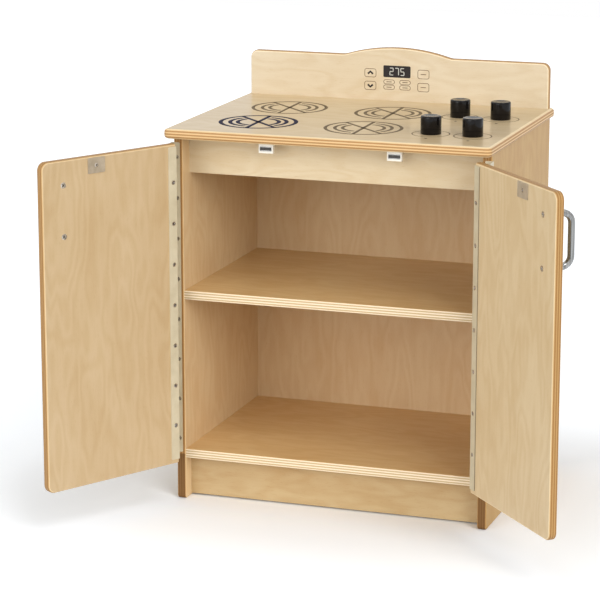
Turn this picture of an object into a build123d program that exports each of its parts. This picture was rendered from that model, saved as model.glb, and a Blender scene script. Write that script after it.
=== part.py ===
"""Toy stove: a plywood cupboard with a hob, a backsplash and two hinged doors.

Millimetres, +Z up. The origin is on the floor, under the middle of the front
edges of the two side panels. The front faces -Y, and +X is to the right of
someone who stands in front of it. The stove is drawn as it stands in use for
play, with both doors swung open.
"""
from build123d import *
from math import sqrt
import os

os.makedirs("parts", exist_ok=True)

# Carcass: two side panels, two shelves, a back and two cross rails
carcass_width = 496.0
carcass_depth = 352.5
side_height = 571.5
side_thickness = 14.0
side_edge_round = 2.0
foot_corner = 6.0
shelf_thickness = 14.0
shelf_setback = 1.5
shelf_edge_round = 1.5
middle_shelf_top = 332.5
bottom_shelf_top = 80.5
back_thickness = 12.7
back_inset = 10.5
back_floor_gap = 20.0
rail_thickness = 14.0
top_rail_height = 60.0
top_rail_setback = 29.0
base_rail_floor_gap = 3.0
base_rail_setback = 24.0

# Hob: the worktop with a bullnose on its front and sides
hob_thickness = 15.0
hob_side_overhang = 6.0
hob_front_overhang = 30.0
hob_corner = 9.0
hob_nose = 5.5

# Backsplash with a low arch in the middle of its top edge
splash_thickness = 12.7
splash_shoulder = 71.2
splash_arch_rise = 13.6
splash_arch_width = 176.0
splash_blend = 30.0
splash_corner = 12.0
splash_edge_round = 3.0

# Doors lie over the front edges of the carcass
door_thickness = 12.7
door_top_gap = 5.5
door_floor_gap = 69.0
door_middle_gap = 4.0
door_corner = 12.5
door_edge_round = 3.0
left_door_open = 119.5
right_door_open = 131.7

# Continuous hinges that wrap round the door's edge to a barrel at its outer face
hinge_length = 486.0
hinge_top_drop = 9.5
leaf_thickness = 1.2
leaf_clearance = 0.2
leaf_corner = 2.0
cabinet_foot_width = 10.0
door_foot_width = 15.0
knuckle_count = 19
knuckle_radius = 2.9
knuckle_gap = 0.3
knuckle_notch = 0.4
pin_radius = 1.5
pin_clearance = 0.05
pin_stop_short = 0.5
barrel_stand_off = 8.7
hinge_screw_pitch = 63.0
hinge_screw_count = 8
hinge_screw_inset = 6.4
hinge_screw_head = 3.0
hinge_screw_length = 10.0

# Pull handles of bent rod, screwed from the inner face of the door
handle_rod = 10.0
handle_centres = 76.0
handle_stand_off = 32.0
handle_bend = 15.0
handle_edge_distance = 38.5
handle_drop = 75.0
handle_screw_radius = 2.0
handle_screw_head = 4.0
handle_screw_grip = 11.0

# Magnetic catches under the hob, with steel strike plates on the doors
catch_spacing = 200.4
catch_width = 23.0
catch_height = 18.0
catch_depth = 8.0
catch_front_gap = 1.0
catch_edge_round = 1.0
catch_ear_width = 9.0
catch_ear_thickness = 3.0
catch_ear_depth = 8.0
catch_screw_radius = 1.6
catch_screw_head = 3.2
catch_screw_length = 12.0
pocket_width = 18.6
pocket_depth = 6.0
pocket_wall = 2.6
pole_thickness = 1.6
magnet_height = 4.8
strike_width = 31.0
strike_height = 23.0
strike_drop = 14.0
strike_corner = 1.5
strike_screw_radius = 1.5
strike_screw_length = 9.0

# Four turning knobs, each held by a screw from below the hob
knob_radius = 15.5
knob_height = 27.3
knob_edge_round = 2.2
knob_rim = 2.2
knob_dish = 1.0
knob_play = 0.3
knob_centre_x = 170.0
knob_spacing_x = 64.0
knob_front_y = 60.0
knob_spacing_y = 161.0
knob_screw_radius = 2.5
knob_screw_clearance = 0.1
knob_screw_grip = 14.0
knob_screw_head_radius = 4.6
knob_screw_head_height = 3.2
washer_radius = 7.5
washer_thickness = 1.2

# Hidden joinery: glued housings in the sides, dowels into the hob
housing_depth = 5.0
housing_front_stop = 12.0
splash_screw_radius = 1.8
splash_screw_head = 3.4
splash_screw_length = 40.0
splash_screw_inset = 58.0
splash_screw_count = 4
dowel_radius = 4.0
dowel_length = 30.0
dowel_in_hob = 10.0
dowel_inset = 60.0

# Places that follow from the sizes above
half_width = carcass_width / 2
inner_half = half_width - side_thickness
housed_width = 2 * (inner_half + housing_depth)
hob_under = side_height
hob_top = side_height + hob_thickness
hob_depth = hob_front_overhang + carcass_depth
hob_width = carcass_width + 2 * hob_side_overhang
back_rear = carcass_depth - back_inset
back_front = back_rear - back_thickness
shelf_depth = back_front - shelf_setback
bottom_shelf_under = bottom_shelf_top - shelf_thickness
splash_front = carcass_depth - splash_thickness

door_inner = -(2 * leaf_thickness + leaf_clearance)
door_outer = door_inner - door_thickness
door_top = side_height - door_top_gap
door_free_edge = door_middle_gap / 2
door_leaf_front = door_inner + leaf_thickness

barrel_y = door_outer - barrel_stand_off
flange_gap = leaf_clearance
barrel_x = half_width + leaf_thickness + flange_gap
door_hinge_edge = barrel_x - leaf_thickness
cabinet_flange_inner = barrel_x + flange_gap
cabinet_foot_edge = half_width - cabinet_foot_width
door_foot_edge = barrel_x - door_foot_width
hinge_top = side_height - hinge_top_drop
hinge_bottom = hinge_top - hinge_length
hinge_middle = hinge_bottom + hinge_length / 2
knuckle_pitch = hinge_length / knuckle_count
flange_end = barrel_y + knuckle_radius + knuckle_notch
knuckle_root = barrel_y + (knuckle_radius + pin_radius) / 2
hinge_screw_radius = hinge_screw_head - leaf_thickness
hinge_screw_x = barrel_x - hinge_screw_inset

handle_x = door_free_edge + handle_edge_distance
handle_z = door_top - handle_drop
handle_radius = handle_rod / 2

catch_x = catch_spacing / 2
catch_front = -catch_front_gap
catch_under = hob_under - catch_height
pocket_height = magnet_height + 2 * pole_thickness
pocket_under = catch_under + pocket_wall
strike_z = door_top - strike_drop
strike_screw_head = strike_screw_radius + leaf_thickness

knob_under = hob_top + knob_play
washer_top = hob_under - knob_play
knob_bore = knob_screw_radius + knob_screw_clearance

LEFT = -1
RIGHT = 1
SIDES = {"left": LEFT, "right": RIGHT}
DOOR_OPEN = {LEFT: left_door_open, RIGHT: right_door_open}


def keep(name, part):
    """Label a finished piece and write it out."""
    part.label = name
    export_step(part, f"parts/{name}.step")


def swing(side, part):
    """Turn a piece that was drawn on the shut door to where the open door stands."""
    pin = Axis((side * barrel_x, barrel_y, 0), (0, 0, 1))
    return part.rotate(pin, side * DOOR_OPEN[side])


def countersunk_screw(radius, head, length):
    """A screw along -Z with the flat of its head at the origin."""
    with BuildPart() as screw:
        with BuildSketch(Plane.XZ):
            with BuildLine():
                Polyline(
                    (0, 0),
                    (head, 0),
                    (radius, radius - head),
                    (radius, -length),
                    (0, -length),
                    close=True,
                )
            make_face()
        revolve(axis=Axis.Z)
    return screw.part


def set_at(places, piece):
    """One group of separate, identical pieces, set at the given planes."""
    with BuildPart() as group:
        with Locations(*places):
            add(piece)
    return group.part


def facing(points, direction):
    """Planes at the points, with their normals out of the drilled surface."""
    return [Plane(origin=point, z_dir=direction) for point in points]


# The ends of the boards that sit in the side panels: y from and to, z from and to
housings = [
    (housing_front_stop, back_front, middle_shelf_top - shelf_thickness, middle_shelf_top),
    (housing_front_stop, back_front, bottom_shelf_under, bottom_shelf_top),
    (top_rail_setback, top_rail_setback + rail_thickness, side_height - top_rail_height, side_height),
    (base_rail_setback, base_rail_setback + rail_thickness, base_rail_floor_gap, bottom_shelf_under),
    (back_front, back_rear, back_floor_gap, side_height),
]

# Where the fasteners go
dowel_points = {
    side: [
        (side * (half_width - side_thickness / 2), y, hob_under)
        for y in (dowel_inset, carcass_depth - dowel_inset)
    ]
    for side in (LEFT, RIGHT)
}

splash_screw_span = carcass_width - 2 * splash_screw_inset
splash_screw_points = [
    (
        -splash_screw_span / 2 + i * splash_screw_span / (splash_screw_count - 1),
        carcass_depth - splash_thickness / 2,
        hob_under,
    )
    for i in range(splash_screw_count)
]

knob_points = {
    f"{row}_{column}": (
        knob_centre_x + across * knob_spacing_x / 2,
        knob_front_y + back * knob_spacing_y,
    )
    for row, back in (("front", 0), ("back", 1))
    for column, across in (("left", -1), ("right", 1))
}

catch_screw_offset = catch_width / 2 + catch_ear_width / 2
catch_screw_y = catch_front + catch_depth / 2
catch_screw_points = [
    (side * catch_x + ear * catch_screw_offset, catch_screw_y, hob_under)
    for side in (LEFT, RIGHT)
    for ear in (-1, 1)
]

cabinet_screw_heights = [
    hinge_middle + (i - (hinge_screw_count - 1) / 2) * hinge_screw_pitch for i in range(hinge_screw_count)
]
door_screw_heights = [height + hinge_screw_pitch / 2 for height in cabinet_screw_heights[:-1]]
handle_screw_heights = [handle_z - handle_centres / 2, handle_z + handle_centres / 2]


# Side panels, which are also the feet
for name, side in SIDES.items():
    with BuildPart() as side_panel:
        with BuildSketch(Plane.YZ.offset(side * half_width)):
            with Locations((carcass_depth / 2, side_height / 2)):
                panel_outline = Rectangle(carcass_depth, side_height)
            fillet(panel_outline.vertices().group_by(Axis.Y)[0], foot_corner)
        extrude(amount=-side * side_thickness)
        front_edges = side_panel.edges().filter_by(Axis.Z).group_by(Axis.Y)[0]
        fillet(front_edges, side_edge_round)
        with BuildSketch(Plane.YZ.offset(side * inner_half)):
            for y_low, y_high, z_low, z_high in housings:
                with Locations(((y_low + y_high) / 2, (z_low + z_high) / 2)):
                    Rectangle(y_high - y_low, z_high - z_low)
        extrude(amount=side * housing_depth, mode=Mode.SUBTRACT)
        with Locations(*facing(dowel_points[side], (0, 0, 1))):
            Hole(dowel_radius, depth=dowel_length - dowel_in_hob)
        screw_mouths = [(side * hinge_screw_x, 0, height) for height in cabinet_screw_heights]
        with Locations(*facing(screw_mouths, (0, -1, 0))):
            Hole(hinge_screw_radius, depth=hinge_screw_length - leaf_thickness)
    keep(f"{name}_side", side_panel.part)


def shelf(top):
    """A shelf whose ends, but for their front corners, sit in the side panels."""
    with BuildPart() as board:
        with BuildSketch(Plane.XY.offset(top - shelf_thickness)):
            with Locations((0, shelf_setback + shelf_depth / 2)):
                Rectangle(2 * inner_half, shelf_depth)
            with Locations((0, (housing_front_stop + back_front) / 2)):
                Rectangle(housed_width, back_front - housing_front_stop)
        extrude(amount=shelf_thickness)
        fillet(board.edges().filter_by(Axis.X).group_by(Axis.Y)[0], shelf_edge_round)
    return board.part


keep("middle_shelf", shelf(middle_shelf_top))
keep("bottom_shelf", shelf(bottom_shelf_top))


def upright_board(front, thickness, low, high):
    """A board across the stove with both ends in the side panels."""
    with BuildPart() as board:
        with BuildSketch(Plane.XZ.offset(-front)):
            with Locations((0, (low + high) / 2)):
                Rectangle(housed_width, high - low)
        extrude(amount=-thickness)
    return board.part


top_rail = upright_board(top_rail_setback, rail_thickness, side_height - top_rail_height, side_height)
keep("top_rail", top_rail)
base_rail = upright_board(base_rail_setback, rail_thickness, base_rail_floor_gap, bottom_shelf_under)
keep("base_rail", base_rail)
keep("back_panel", upright_board(back_front, back_thickness, back_floor_gap, side_height))


# Hob, bored for the knobs from above and for its fastenings from below
with BuildPart() as hob:
    with BuildSketch(Plane.XY.offset(hob_under)):
        with Locations((0, hob_depth / 2 - hob_front_overhang)):
            hob_outline = Rectangle(hob_width, hob_depth)
        fillet(hob_outline.vertices().group_by(Axis.Y)[0], hob_corner)
    extrude(amount=hob_thickness)
    rims = [hob.faces().sort_by(Axis.Z)[end].edges().sort_by(Axis.Y)[:-1] for end in (0, -1)]
    fillet(rims[0] + rims[1], hob_nose)
    with Locations(*[(x, y, hob_top) for x, y in knob_points.values()]):
        Hole(knob_bore)
    with Locations(*facing(splash_screw_points, (0, 0, -1))):
        CounterSinkHole(
            splash_screw_radius,
            splash_screw_head,
            depth=hob_thickness,
            counter_sink_angle=90,
        )
    with Locations(*facing(dowel_points[LEFT] + dowel_points[RIGHT], (0, 0, -1))):
        Hole(dowel_radius, depth=dowel_in_hob)
    with Locations(*facing(catch_screw_points, (0, 0, -1))):
        Hole(catch_screw_radius, depth=catch_screw_length - catch_ear_thickness)
keep("hob", hob.part)

with BuildPart() as dowel:
    with BuildSketch(Plane.XY):
        Circle(dowel_radius)
    extrude(amount=dowel_length)
dowel_feet = [
    (x, y, z + dowel_in_hob - dowel_length) for x, y, z in dowel_points[LEFT] + dowel_points[RIGHT]
]
keep("hob_dowels", set_at(facing(dowel_feet, (0, 0, 1)), dowel.part))


# Backsplash, which stands on the back edge of the hob
arch_radius = (splash_arch_width**2 / 4 + splash_arch_rise**2) / (2 * splash_arch_rise)
with BuildPart() as backsplash:
    with BuildSketch(Plane.XZ.offset(-splash_front)):
        with Locations((0, hob_top + splash_shoulder / 2)):
            Rectangle(carcass_width, splash_shoulder)
        with BuildSketch(mode=Mode.PRIVATE) as arch:
            with Locations((0, hob_top + splash_shoulder + splash_arch_rise - arch_radius)):
                Circle(arch_radius)
            with Locations((0, hob_top + splash_shoulder)):
                Rectangle(2 * arch_radius, 2 * splash_arch_rise, mode=Mode.INTERSECT)
        add(arch.sketch)
    extrude(amount=-splash_thickness)
    upright = backsplash.edges().filter_by(Axis.Y)
    shoulder_height = hob_top + splash_shoulder
    fillet(upright.group_by(Axis.X)[0].group_by(Axis.Z)[-1], splash_corner)
    fillet(backsplash.edges().filter_by(Axis.Y).group_by(Axis.X)[-1].group_by(Axis.Z)[-1], splash_corner)
    blend_edges = [
        edge
        for edge in backsplash.edges().filter_by(Axis.Y)
        if abs(abs(edge.center().X) - splash_arch_width / 2) < 1
    ]
    fillet(blend_edges, splash_blend)
    for face in (backsplash.faces().sort_by(Axis.Y)[0], backsplash.faces().sort_by(Axis.Y)[-1]):
        fillet(face.edges().sort_by(Axis.Z)[1:], splash_edge_round)
    splash_screw_mouths = [(x, y, hob_top) for x, y, _ in splash_screw_points]
    with Locations(*facing(splash_screw_mouths, (0, 0, -1))):
        Hole(splash_screw_radius, depth=splash_screw_length - hob_thickness)
keep("backsplash", backsplash.part)
keep(
    "backsplash_screws",
    set_at(
        facing(splash_screw_points, (0, 0, -1)),
        countersunk_screw(splash_screw_radius, splash_screw_head, splash_screw_length),
    ),
)


def own_knuckles(first):
    """Heights of every other knuckle's lower end, from the first one up."""
    return [
        hinge_bottom + i * knuckle_pitch + knuckle_gap / 2 for i in range(first, knuckle_count, 2)
    ]


def hinge_leaf(side, foot_edge, foot_front, flange_x, first_knuckle, foot_screws):
    """One leaf: a foot on the wood, a flange forward to the barrel, and its knuckles.

    foot_front is the face that the foot turns to its mate, flange_x the face
    of the flange that is nearer to the middle of the stove.
    """
    foot_back = foot_front + leaf_thickness if first_knuckle == 0 else foot_front - leaf_thickness
    foot_low_y = min(foot_front, foot_back)
    foot_high_y = max(foot_front, foot_back)
    flange_outer = flange_x + leaf_thickness
    with BuildPart() as leaf:
        with BuildSketch(Plane.XY.offset(hinge_bottom)):
            with BuildLine():
                Polyline(
                    (side * foot_edge, foot_low_y),
                    (side * foot_edge, foot_high_y),
                    (side * flange_outer, foot_high_y),
                    (side * flange_outer, flange_end),
                    (side * flange_x, flange_end),
                    (side * flange_x, foot_low_y),
                    close=True,
                )
            make_face()
        extrude(amount=hinge_length)
        foot_corners = leaf.edges().filter_by(Axis.Y).group_by(Axis.X)[0 if side == RIGHT else -1]
        fillet(foot_corners, leaf_corner)
        with BuildSketch(*[Plane.XY.offset(height) for height in own_knuckles(first_knuckle)]):
            with Locations((side * barrel_x, barrel_y)):
                Circle(knuckle_radius)
            with Locations((side * (flange_x + flange_outer) / 2, (knuckle_root + flange_end) / 2)):
                Rectangle(leaf_thickness, flange_end - knuckle_root)
            with Locations((side * barrel_x, barrel_y)):
                Circle(pin_radius + pin_clearance, mode=Mode.SUBTRACT)
        extrude(amount=knuckle_pitch - knuckle_gap)
        with Locations(*foot_screws):
            CounterSinkHole(
                hinge_screw_radius,
                hinge_screw_head,
                depth=leaf_thickness,
                counter_sink_angle=90,
            )
    return leaf.part


hinge_screw = countersunk_screw(hinge_screw_radius, hinge_screw_head, hinge_screw_length)
handle_screw = countersunk_screw(
    handle_screw_radius, handle_screw_head, door_thickness + handle_screw_grip
)
strike_screw = countersunk_screw(strike_screw_radius, strike_screw_head, strike_screw_length)

for name, side in SIDES.items():
    # The leaf on the front edge of the side panel, and the pin that it holds
    cabinet_screw_places = facing(
        [(side * hinge_screw_x, -leaf_thickness, height) for height in cabinet_screw_heights],
        (0, -1, 0),
    )
    cabinet_leaf = hinge_leaf(
        side, cabinet_foot_edge, -leaf_thickness, cabinet_flange_inner, 0, cabinet_screw_places
    )
    keep(f"{name}_cabinet_leaf", cabinet_leaf)
    keep(f"{name}_cabinet_leaf_screws", set_at(cabinet_screw_places, hinge_screw))

    with BuildPart() as hinge_pin:
        with BuildSketch(Plane.XY.offset(hinge_bottom + pin_stop_short)):
            with Locations((side * barrel_x, barrel_y)):
                Circle(pin_radius)
        extrude(amount=hinge_length - 2 * pin_stop_short)
    keep(f"{name}_hinge_pin", hinge_pin.part)

    # The leaf on the inner face of the door
    door_screw_places = facing(
        [(side * hinge_screw_x, door_leaf_front, height) for height in door_screw_heights],
        (0, 1, 0),
    )
    door_leaf = hinge_leaf(
        side, door_foot_edge, door_leaf_front, door_hinge_edge, 1, door_screw_places
    )
    keep(f"{name}_door_leaf", swing(side, door_leaf))
    keep(f"{name}_door_leaf_screws", swing(side, set_at(door_screw_places, hinge_screw)))

    # The door itself, with round corners at its free edge
    handle_screw_places = facing(
        [(side * handle_x, door_inner, height) for height in handle_screw_heights],
        (0, 1, 0),
    )
    strike_mouth = (side * catch_x, door_inner, strike_z)
    with BuildPart() as door:
        with BuildSketch(Plane.XZ.offset(-door_inner)):
            door_width = door_hinge_edge - door_free_edge
            with Locations((side * (door_free_edge + door_width / 2), (door_floor_gap + door_top) / 2)):
                door_outline = Rectangle(door_width, door_top - door_floor_gap)
            free_corners = door_outline.vertices().group_by(Axis.X)[0 if side == RIGHT else -1]
            fillet(free_corners, door_corner)
        extrude(amount=door_thickness)
        inner_rim = door.faces().sort_by(Axis.Y)[-1].edges().sort_by(Axis.X)
        free_rim = inner_rim[:-1] if side == RIGHT else inner_rim[1:]
        outer_rim = door.faces().sort_by(Axis.Y)[0].edges()
        fillet(free_rim + outer_rim, door_edge_round)
        with Locations(*facing([(x.origin.X, door_inner, x.origin.Z) for x in door_screw_places], (0, 1, 0))):
            Hole(hinge_screw_radius, depth=hinge_screw_length - leaf_thickness)
        with Locations(*handle_screw_places):
            CounterSinkHole(
                handle_screw_radius,
                handle_screw_head,
                depth=door_thickness,
                counter_sink_angle=90,
            )
        with Locations(*facing([strike_mouth], (0, 1, 0))):
            Hole(strike_screw_radius, depth=strike_screw_length - leaf_thickness)
    keep(f"{name}_door", swing(side, door.part))

    # The pull handle, bent from one rod with its two ends square to the door
    with BuildPart() as handle:
        with BuildLine(Plane.YZ.offset(side * handle_x)) as bend_line:
            FilletPolyline(
                (door_outer, handle_screw_heights[0]),
                (door_outer - handle_stand_off, handle_screw_heights[0]),
                (door_outer - handle_stand_off, handle_screw_heights[1]),
                (door_outer, handle_screw_heights[1]),
                radius=handle_bend,
            )
        foot_plane = Plane(
            origin=(side * handle_x, door_outer, handle_screw_heights[0]), z_dir=(0, -1, 0)
        )
        with BuildSketch(foot_plane):
            Circle(handle_radius)
        sweep(path=bend_line.line)
        tapped = [(side * handle_x, door_outer, height) for height in handle_screw_heights]
        with Locations(*facing(tapped, (0, 1, 0))):
            Hole(handle_screw_radius, depth=handle_screw_grip)
    keep(f"{name}_handle", swing(side, handle.part))
    keep(f"{name}_handle_screws", swing(side, set_at(handle_screw_places, handle_screw)))

    # The steel plate that the magnet pulls on
    strike_places = facing([(side * catch_x, door_inner + leaf_thickness, strike_z)], (0, 1, 0))
    with BuildPart() as strike_plate:
        with BuildSketch(Plane.XZ.offset(-door_inner)):
            with Locations((side * catch_x, strike_z)):
                RectangleRounded(strike_width, strike_height, strike_corner)
        extrude(amount=-leaf_thickness)
        with Locations(*strike_places):
            CounterSinkHole(
                strike_screw_radius,
                strike_screw_head,
                depth=leaf_thickness,
                counter_sink_angle=90,
            )
    keep(f"{name}_strike_plate", swing(side, strike_plate.part))
    keep(f"{name}_strike_screw", swing(side, set_at(strike_places, strike_screw)))

    # The catch housing with its pocket open to the front
    with BuildPart() as catch_housing:
        with BuildSketch(Plane.XY.offset(catch_under)):
            with Locations((side * catch_x, catch_front + catch_depth / 2)):
                Rectangle(catch_width, catch_depth)
        extrude(amount=catch_height)
        fillet(catch_housing.edges().filter_by(Axis.Z), catch_edge_round)
        with BuildSketch(Plane.XY.offset(hob_under - catch_ear_thickness)):
            with Locations((side * catch_x, catch_screw_y)):
                RectangleRounded(
                    catch_width + 2 * catch_ear_width, catch_ear_depth, catch_ear_width / 3
                )
        extrude(amount=catch_ear_thickness)
        with BuildSketch(Plane.XZ.offset(-catch_front)):
            with Locations((side * catch_x, pocket_under + pocket_height / 2)):
                Rectangle(pocket_width, pocket_height)
        extrude(amount=-pocket_depth, mode=Mode.SUBTRACT)
        ear_mouths = [
            (side * catch_x + ear * catch_screw_offset, catch_screw_y, hob_under - catch_ear_thickness)
            for ear in (-1, 1)
        ]
        with Locations(*facing(ear_mouths, (0, 0, -1))):
            CounterSinkHole(
                catch_screw_radius,
                catch_screw_head,
                depth=catch_ear_thickness,
                counter_sink_angle=90,
            )
    keep(f"{name}_catch_housing", catch_housing.part)

    # A magnet between two steel poles fills the pocket
    with BuildPart() as catch_magnet:
        with BuildSketch(Plane.XZ.offset(-catch_front)):
            with Locations((side * catch_x, pocket_under + pocket_height / 2)):
                Rectangle(pocket_width, magnet_height)
        extrude(amount=-pocket_depth)
    keep(f"{name}_catch_magnet", catch_magnet.part)
    with BuildPart() as catch_poles:
        with BuildSketch(Plane.XZ.offset(-catch_front)):
            pole_rise = (magnet_height + pole_thickness) / 2
            with Locations((side * catch_x, pocket_under + pocket_height / 2)):
                with Locations((0, pole_rise), (0, -pole_rise)):
                    Rectangle(pocket_width, pole_thickness)
        extrude(amount=-pocket_depth)
    keep(f"{name}_catch_poles", catch_poles.part)

catch_screw_heads = [(x, y, z - catch_ear_thickness) for x, y, z in catch_screw_points]
keep(
    "catch_screws",
    set_at(
        facing(catch_screw_heads, (0, 0, -1)),
        countersunk_screw(catch_screw_radius, catch_screw_head, catch_screw_length),
    ),
)


# Knobs with a dished top, their screws and their washers
for place, (x, y) in knob_points.items():
    with BuildPart() as knob:
        with BuildSketch(Plane.XZ):
            with BuildLine():
                Line((0, 0), (knob_radius, 0))
                Line((knob_radius, 0), (knob_radius, knob_height - knob_edge_round))
                RadiusArc(
                    (knob_radius, knob_height - knob_edge_round),
                    (knob_radius - knob_edge_round, knob_height),
                    -knob_edge_round,
                )
                rim_inner = knob_radius - knob_edge_round - knob_rim
                Line((knob_radius - knob_edge_round, knob_height), (rim_inner, knob_height))
                dish_radius = (rim_inner**2 + knob_dish**2) / (2 * knob_dish)
                RadiusArc((rim_inner, knob_height), (0, knob_height - knob_dish), dish_radius)
                Line((0, knob_height - knob_dish), (0, 0))
            make_face()
        revolve(axis=Axis.Z)
        with Locations(*facing([(0, 0, 0)], (0, 0, -1))):
            Hole(knob_screw_radius, depth=knob_screw_grip)
    keep(f"{place}_knob", knob.part.moved(Location((x, y, knob_under))))

    with BuildPart() as knob_screw:
        with BuildSketch(Plane.XY.offset(washer_top - washer_thickness - knob_screw_head_height)):
            with Locations((x, y)):
                Circle(knob_screw_head_radius)
        extrude(amount=knob_screw_head_height)
        with BuildSketch(Plane.XY.offset(washer_top - washer_thickness)):
            with Locations((x, y)):
                Circle(knob_screw_radius)
        extrude(amount=knob_under + knob_screw_grip - washer_top + washer_thickness)
    keep(f"{place}_knob_screw", knob_screw.part)

    with BuildPart() as washer:
        with BuildSketch(Plane.XY.offset(washer_top - washer_thickness)):
            with Locations((x, y)):
                Circle(washer_radius)
                Circle(knob_bore, mode=Mode.SUBTRACT)
        extrude(amount=washer_thickness)
    keep(f"{place}_knob_washer", washer.part)
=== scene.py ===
# %% [markdown]
# # A toy stove of birch plywood
#
# The stove is a cupboard with two doors on continuous hinges, a hob with four
# black knobs, and a low arched board at the back. Its boards and hinges come
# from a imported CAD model. This lesson gives them their finishes, makes the
# handles, the knobs and the screws in sight again with more detail, prints the
# burners and the control panel, and lights the stove as a studio photograph
# does.

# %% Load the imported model
from math import cos, pi, radians, sin

import bmesh
import bpy
from mathutils import Matrix, Vector


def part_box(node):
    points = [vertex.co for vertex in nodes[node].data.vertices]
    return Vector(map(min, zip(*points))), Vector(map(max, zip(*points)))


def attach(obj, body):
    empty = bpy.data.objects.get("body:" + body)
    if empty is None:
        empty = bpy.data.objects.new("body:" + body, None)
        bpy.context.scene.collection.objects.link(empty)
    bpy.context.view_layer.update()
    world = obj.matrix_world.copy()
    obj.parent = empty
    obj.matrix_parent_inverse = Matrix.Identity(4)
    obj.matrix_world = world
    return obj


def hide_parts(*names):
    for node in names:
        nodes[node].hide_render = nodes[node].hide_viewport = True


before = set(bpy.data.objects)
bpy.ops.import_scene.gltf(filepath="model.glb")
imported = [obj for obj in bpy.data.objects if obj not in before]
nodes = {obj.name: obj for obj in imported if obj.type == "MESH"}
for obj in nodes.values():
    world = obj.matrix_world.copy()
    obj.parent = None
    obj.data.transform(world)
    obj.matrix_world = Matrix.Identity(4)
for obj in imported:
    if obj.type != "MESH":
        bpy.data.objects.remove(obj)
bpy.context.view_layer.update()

print("CAD nodes:", len(nodes))

# %% [markdown]
# Everything below is written in millimetres, because that is how a maker
# measures a cupboard, and turned into metres where a mesh is made. The level
# of the hob, the front of the backsplash and the places of the knobs are read
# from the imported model, so that the prints lie exactly on them.

# %% Sizes that the finishes need
MM = 0.001
LEFT = -1
RIGHT = 1
SIDES = {"left": LEFT, "right": RIGHT}
X, Y, Z = range(3)
AXES = {"x": Vector((1, 0, 0)), "y": Vector((0, 1, 0)), "z": Vector((0, 0, 1))}

def span(node, axis):
    """Lowest and highest place of a CAD node along one axis, in millimetres."""
    low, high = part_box(node)
    return low[axis] / MM, high[axis] / MM

hob_top = span("hob", Z)[1]
splash_front = span("backsplash", Y)[0]
knob_names = ("front_left", "front_right", "back_left", "back_right")
knob_centres = {
    name: (sum(span(f"{name}_knob", X)) / 2, sum(span(f"{name}_knob", Y)) / 2)
    for name in knob_names
}
print("hob top", round(hob_top, 1), "knob centres", knob_centres)

# %% [markdown]
# The doors stand open. A door's handle and screws are drawn as if it were
# shut, where sizes are easy to give, and then turned about the hinge pin.

# %% Turn about the hinge pins
pin_places = {LEFT: Vector((-249.4, -24.0, 0.0)), RIGHT: Vector((249.4, -24.0, 0.0))}
open_angles = {LEFT: -119.5, RIGHT: 131.7}

def swing(side):
    """The matrix that opens something drawn on the shut door, in metres."""
    pin = pin_places[side] * MM
    turn = Matrix.Rotation(radians(open_angles[side]), 4, "Z")
    return Matrix.Translation(pin) @ turn @ Matrix.Translation(-pin)

print("doors open by", open_angles)

# %% [markdown]
# Material maths reads best as Python. A Wire holds one output socket, and an
# expression such as `0.3 + 0.2 * grain` adds the Math nodes that it needs. A
# Recipe is a node tree being written: its method node adds any node, sets its
# settings first, and then gives its sockets values or wires. Its methods blend
# and noise add the two nodes that the finishes use most.

# %% Write node trees as expressions
class Wire:
    """One output socket, with the operators that the recipes below use."""

    def __init__(self, recipe, socket):
        self.recipe = recipe
        self.socket = socket

    def maths(self, operation, *others, swapped=False):
        """A Math node that takes this wire first, or last if swapped."""
        values = [self, *others]
        if swapped:
            values.reverse()
        return self.recipe.node(
            "ShaderNodeMath", {"operation": operation}, dict(enumerate(values))
        )

    def __add__(self, other):
        return self.maths("ADD", other)

    def __sub__(self, other):
        return self.maths("SUBTRACT", other)

    def __mul__(self, other):
        return self.maths("MULTIPLY", other)

    def __rsub__(self, other):
        return self.maths("SUBTRACT", other, swapped=True)

    __radd__ = __add__
    __rmul__ = __mul__


class Recipe:
    """A node tree and the methods that add nodes to it."""

    def __init__(self, tree):
        self.tree = tree

    def node(self, kind, settings=None, inputs=None, output=0):
        """Adds a node and returns the wire of one output, by its name or number."""
        made = self.tree.nodes.new(kind)
        for name, value in (settings or {}).items():
            setattr(made, name, value)
        for name, value in (inputs or {}).items():
            if isinstance(value, Wire):
                self.tree.links.new(value.socket, made.inputs[name])
            else:
                made.inputs[name].default_value = value
        return Wire(self, made.outputs[output]) if made.outputs else None

    def blend(self, amount, first, second):
        """A colour from first to second as amount goes from 0 to 1."""
        return self.node(
            "ShaderNodeMix",
            {"data_type": "RGBA", "clamp_factor": True},
            {"Factor": amount, 6: first, 7: second},
            output=2,
        )

    def noise(self, place, scale, detail=2.0):
        """Soft random values, most of them between 0.3 and 0.7."""
        return self.node(
            "ShaderNodeTexNoise", {}, {"Vector": place, "Scale": scale, "Detail": detail}
        )


def paint(red, green, blue):
    """A screen colour from 0 to 255 as the linear colour that Blender mixes."""
    def linear(value):
        value /= 255
        return value / 12.92 if value <= 0.04045 else ((value + 0.055) / 1.055) ** 2.4
    return (linear(red), linear(green), linear(blue), 1.0)


def new_recipe(name):
    """An empty material and the recipe for its nodes."""
    material = bpy.data.materials.new(name)
    material.use_nodes = True
    material.node_tree.nodes.clear()
    return material, Recipe(material.node_tree)


def finish_material(recipe, inputs):
    """Ends a recipe in one Principled shader."""
    shader = recipe.node("ShaderNodeBsdfPrincipled", {}, inputs)
    recipe.node("ShaderNodeOutputMaterial", {}, {"Surface": shader})


def object_place(recipe):
    """The point of the surface in the stove's own frame."""
    return recipe.node("ShaderNodeTexCoord", output="Object")


def seen_in_picture(recipe):
    """1 for rays that the camera sees, straight or mirrored, and 0 for light."""
    straight = recipe.node("ShaderNodeLightPath", output="Is Camera Ray")
    mirrored = recipe.node("ShaderNodeLightPath", output="Is Glossy Ray")
    return straight + mirrored

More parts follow.
